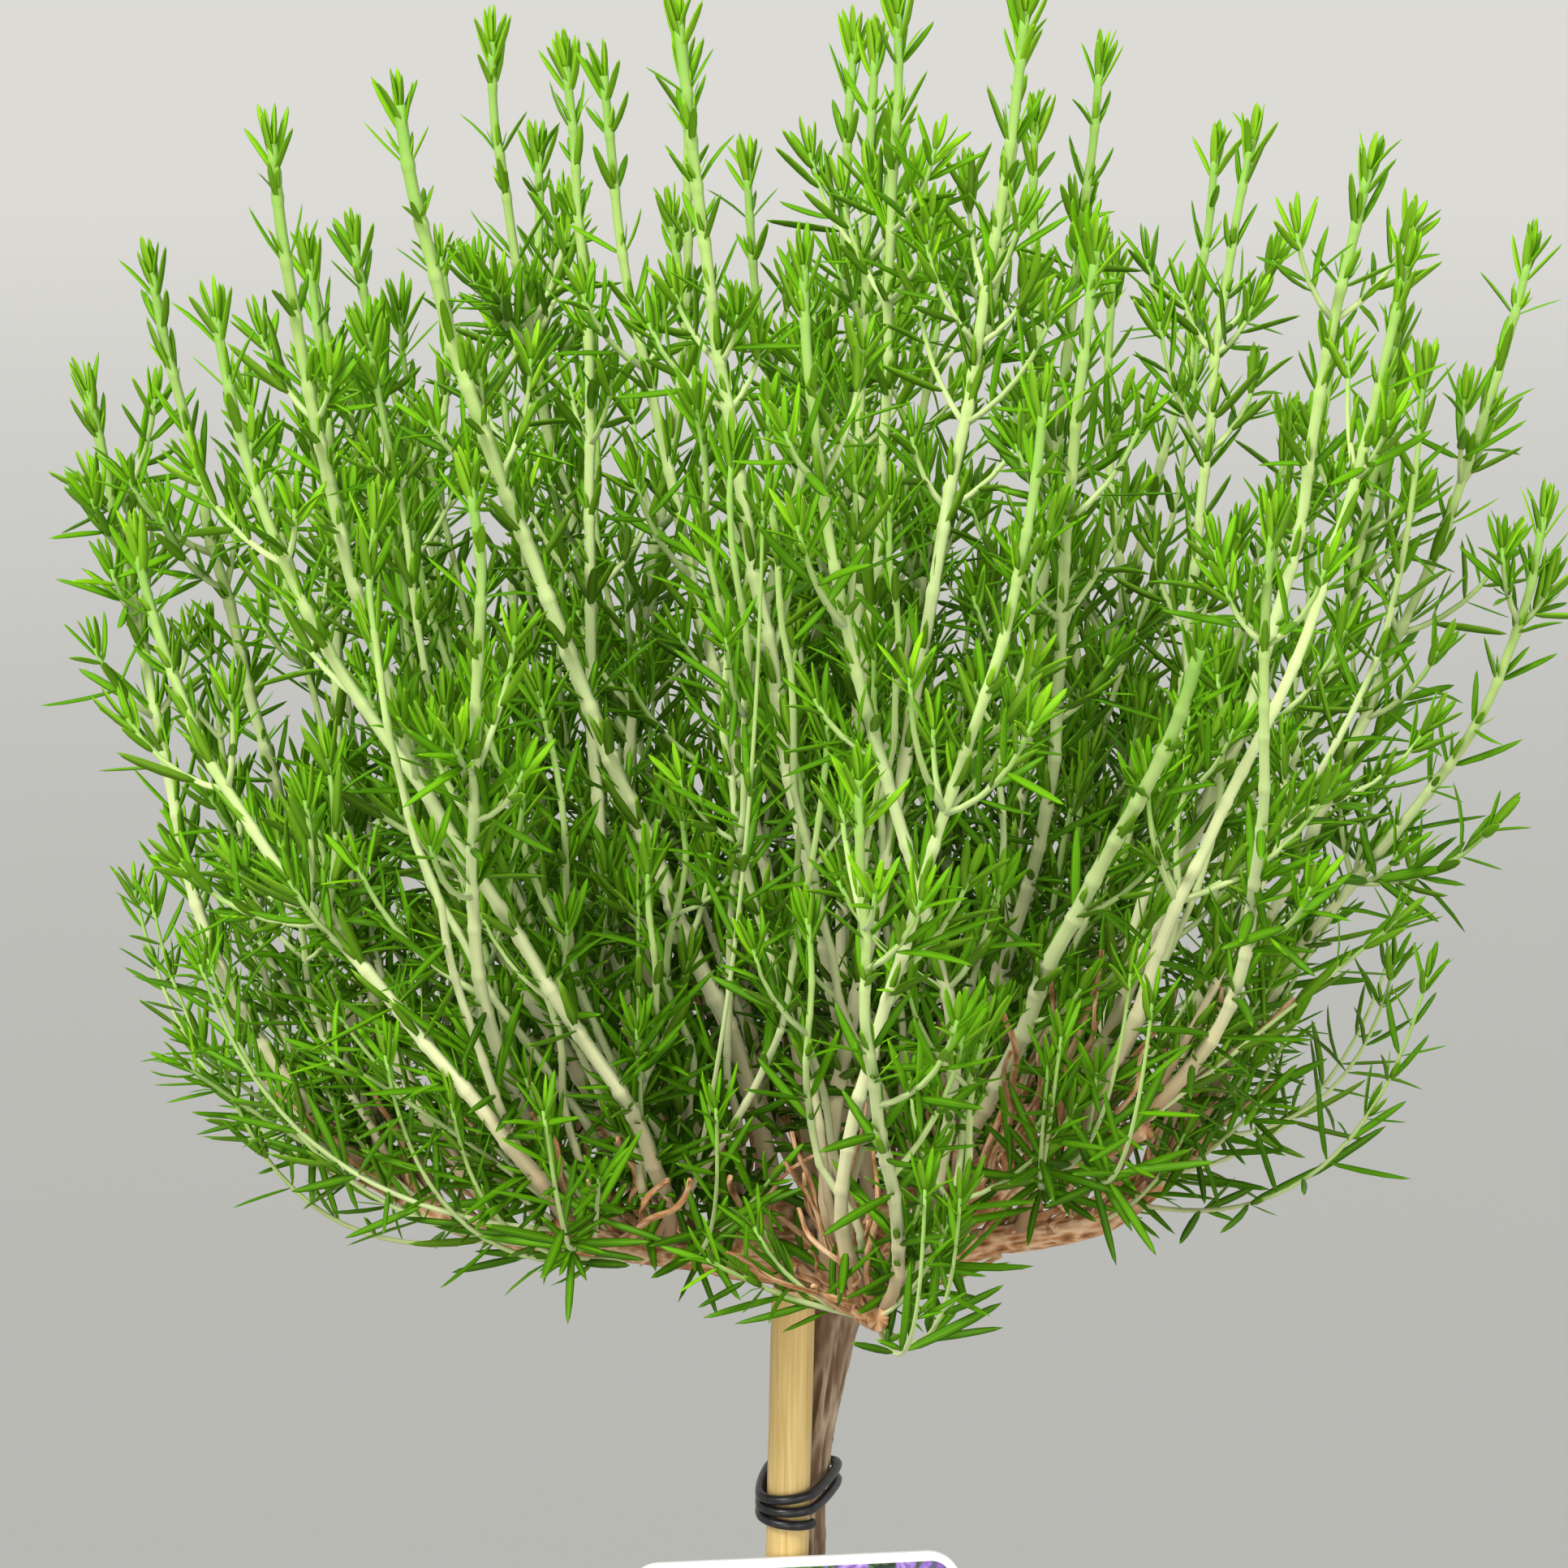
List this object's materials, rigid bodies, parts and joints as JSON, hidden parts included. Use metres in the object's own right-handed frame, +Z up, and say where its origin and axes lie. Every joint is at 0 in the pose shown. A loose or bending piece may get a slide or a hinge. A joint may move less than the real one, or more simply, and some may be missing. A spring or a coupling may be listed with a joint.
{
  "type": "potted rosemary plant",
  "caption": "Potted rosemary grown as a standard: a bushy crown of upright needle-leaved shoots on a bare trunk, tied to a bamboo cane that carries a picture label.",
  "frame": {"origin": "centre of the pot's flat underside, on the surface that the pot stands on", "axes": "+Z up along the trunk; the front, with the cane and the label, faces -Y; +X to the right seen from the front"},
  "size_m": [0.3289, 0.3246, 0.7632],
  "materials": {
    "pot_plastic": "moulded terracotta-coloured nursery pot, matt with a fine grain",
    "compost": "dark crumbly potting compost with bits of bark fibre",
    "bamboo": "dried golden bamboo cane, smooth and faintly streaked along its length",
    "bark": "rough grey-brown rosemary bark in shredding vertical strips",
    "branch_wood": "reddish-brown woody branches with flaking bark",
    "foliage": "fresh green needle leaves, glossy above and paler below, on pale green square stems",
    "tie_cord": "black plastic-coated plant tie, slightly glossy",
    "label_card": null
  },
  "bodies": {
    "root": {"pot": "pot_plastic", "trunk": "bark", "bamboo_cane": "bamboo", "potting_compost": "compost", "upper_tie": "tie_cord", "lower_tie": "tie_cord", "picture_label": "label_card", "label_cord": "tie_cord", "branch_1": "branch_wood", "branch_2": "branch_wood", "branch_3": "branch_wood", "branch_4": "branch_wood", "branch_5": "branch_wood", "branch_6": "branch_wood", "branch_7": "branch_wood", "branch_8": "branch_wood", "shoot_1": "foliage", "shoot_2": "foliage", "shoot_3": "foliage", "shoot_4": "foliage", "shoot_5": "foliage", "shoot_6": "foliage", "shoot_7": "foliage", "shoot_8": "foliage", "shoot_9": "foliage", "shoot_10": "foliage", "shoot_11": "foliage", "shoot_12": "foliage", "shoot_13": "foliage", "shoot_14": "foliage", "shoot_15": "foliage", "shoot_16": "foliage", "shoot_17": "foliage", "shoot_18": "foliage", "shoot_19": "foliage", "shoot_20": "foliage", "shoot_21": "foliage", "shoot_22": "foliage", "shoot_23": "foliage", "shoot_24": "foliage", "shoot_25": "foliage", "shoot_26": "foliage", "shoot_27": "foliage", "shoot_28": "foliage", "shoot_29": "foliage", "shoot_30": "foliage", "shoot_31": "foliage", "shoot_32": "foliage", "shoot_33": "foliage", "shoot_34": "foliage", "shoot_35": "foliage", "shoot_36": "foliage", "shoot_37": "foliage", "shoot_38": "foliage", "shoot_39": "foliage", "shoot_40": "foliage", "shoot_41": "foliage", "shoot_42": "foliage", "shoot_43": "foliage"}
  },
  "joints": []
}
